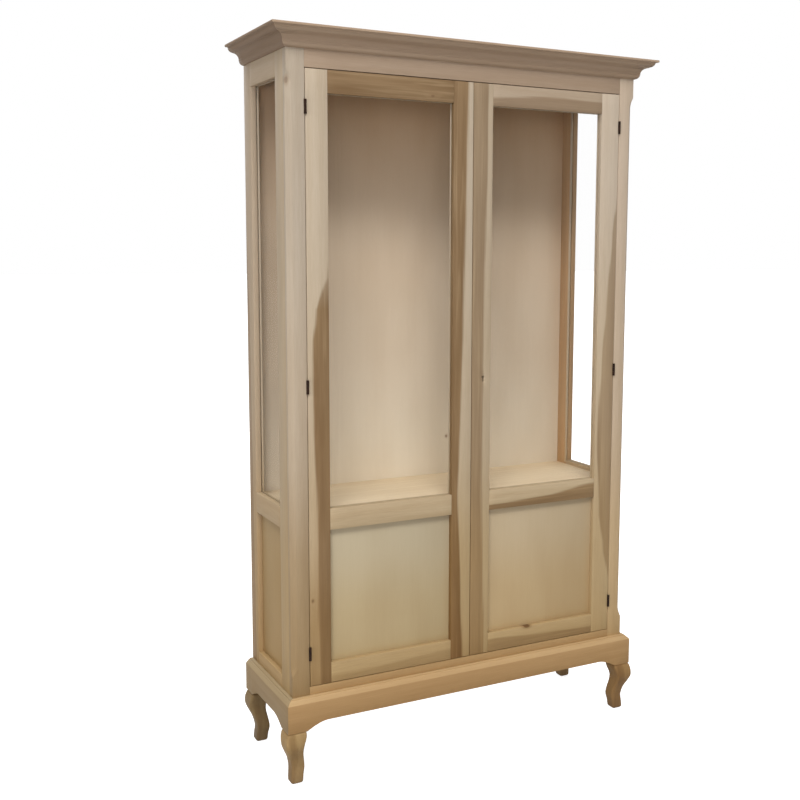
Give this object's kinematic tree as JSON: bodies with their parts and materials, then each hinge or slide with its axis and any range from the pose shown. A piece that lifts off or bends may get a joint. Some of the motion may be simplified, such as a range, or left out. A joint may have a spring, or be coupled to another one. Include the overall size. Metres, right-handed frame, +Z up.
{
  "type": "glazed display cabinet",
  "caption": "Tall raw-wood display cabinet with paired framed doors, glazed above and panelled below, glazed sides, moulded cornice and shaped plinth on cabriole legs.",
  "frame": {"origin": "on the floor, in the middle of the overall width and depth", "axes": "+X along the width to the viewer's right, +Y from the doors to the back, +Z up"},
  "size_m": [1.316, 0.43, 2.2],
  "materials": {
    "pale_wood": "raw sanded poplar, cream sapwood with olive brown heartwood streaks",
    "grey_wood": "raw sanded poplar, pinkish grey brown",
    "panel_wood": "raw sanded boards and panels",
    "glass": "clear thin float glass",
    "bronze": "dark bronzed steel, satin"
  },
  "bodies": {
    "cabinet": {"front_post_left": "pale_wood", "front_post_right": "pale_wood", "frieze_rail": "grey_wood", "sill_rail": "pale_wood", "left_side_front_stile": "pale_wood", "left_side_rear_stile": "pale_wood", "left_side_rails": "pale_wood", "left_side_panel": "panel_wood", "left_side_glass": "glass", "right_side_front_stile": "pale_wood", "right_side_rear_stile": "pale_wood", "right_side_rails": "pale_wood", "right_side_panel": "panel_wood", "right_side_glass": "glass", "side_beads": "pale_wood", "back_panel": "panel_wood", "top_board": "panel_wood", "floor_board": "panel_wood", "shelf_board": "panel_wood", "shelf_cleats": "pale_wood", "cornice_front": "grey_wood", "cornice_left": "grey_wood", "cornice_right": "grey_wood", "plinth_front": "pale_wood", "plinth_left": "pale_wood", "plinth_right": "pale_wood", "plinth_back": "pale_wood", "leg_front_left": "pale_wood", "leg_front_right": "pale_wood", "leg_rear_left": "pale_wood", "leg_rear_right": "pale_wood", "frame_hinge_leaves": "bronze", "bolt_keeper": "bronze"},
    "left_door": {"left_door_hinge_stile": "pale_wood", "left_door_meeting_stile": "pale_wood", "left_door_top_rail": "pale_wood", "left_door_mid_rail": "pale_wood", "left_door_bottom_rail": "pale_wood", "left_door_glass": "glass", "left_door_panel": "panel_wood", "left_door_beads": "pale_wood", "left_door_hinge_leaves": "bronze", "bolt_guides": "bronze"},
    "right_door": {"right_door_hinge_stile": "pale_wood", "right_door_meeting_stile": "pale_wood", "right_door_top_rail": "pale_wood", "right_door_mid_rail": "pale_wood", "right_door_bottom_rail": "pale_wood", "right_door_glass": "glass", "right_door_panel": "panel_wood", "right_door_beads": "pale_wood", "right_door_hinge_leaves": "bronze", "lock_case": "bronze"},
    "lock_bolt": {"lock_bolt": "bronze"},
    "upper_bolt": {"upper_bolt": "bronze"},
    "lower_bolt": {"lower_bolt": "bronze"}
  },
  "joints": [
    {"name": "left_door_hinge", "type": "hinge", "parent": "cabinet", "child": "left_door", "pos_m": [-0.5448, -0.16, 1.19], "axis": [0, 0, -1], "range_deg": [0, 170]},
    {"name": "right_door_hinge", "type": "hinge", "parent": "cabinet", "child": "right_door", "pos_m": [0.5448, -0.16, 1.19], "axis": [0, 0, 1], "range_deg": [0, 170]},
    {"name": "lock_bolt_slide", "type": "slide", "parent": "right_door", "child": "lock_bolt", "axis": [-1, 0, 0], "range_m": [0, 0.008]},
    {"name": "upper_bolt_slide", "type": "slide", "parent": "left_door", "child": "upper_bolt", "axis": [0, 0, 1], "range_m": [0, 0.018]},
    {"name": "lower_bolt_slide", "type": "slide", "parent": "left_door", "child": "lower_bolt", "axis": [0, 0, -1], "range_m": [0, 0.018]}
  ]
}
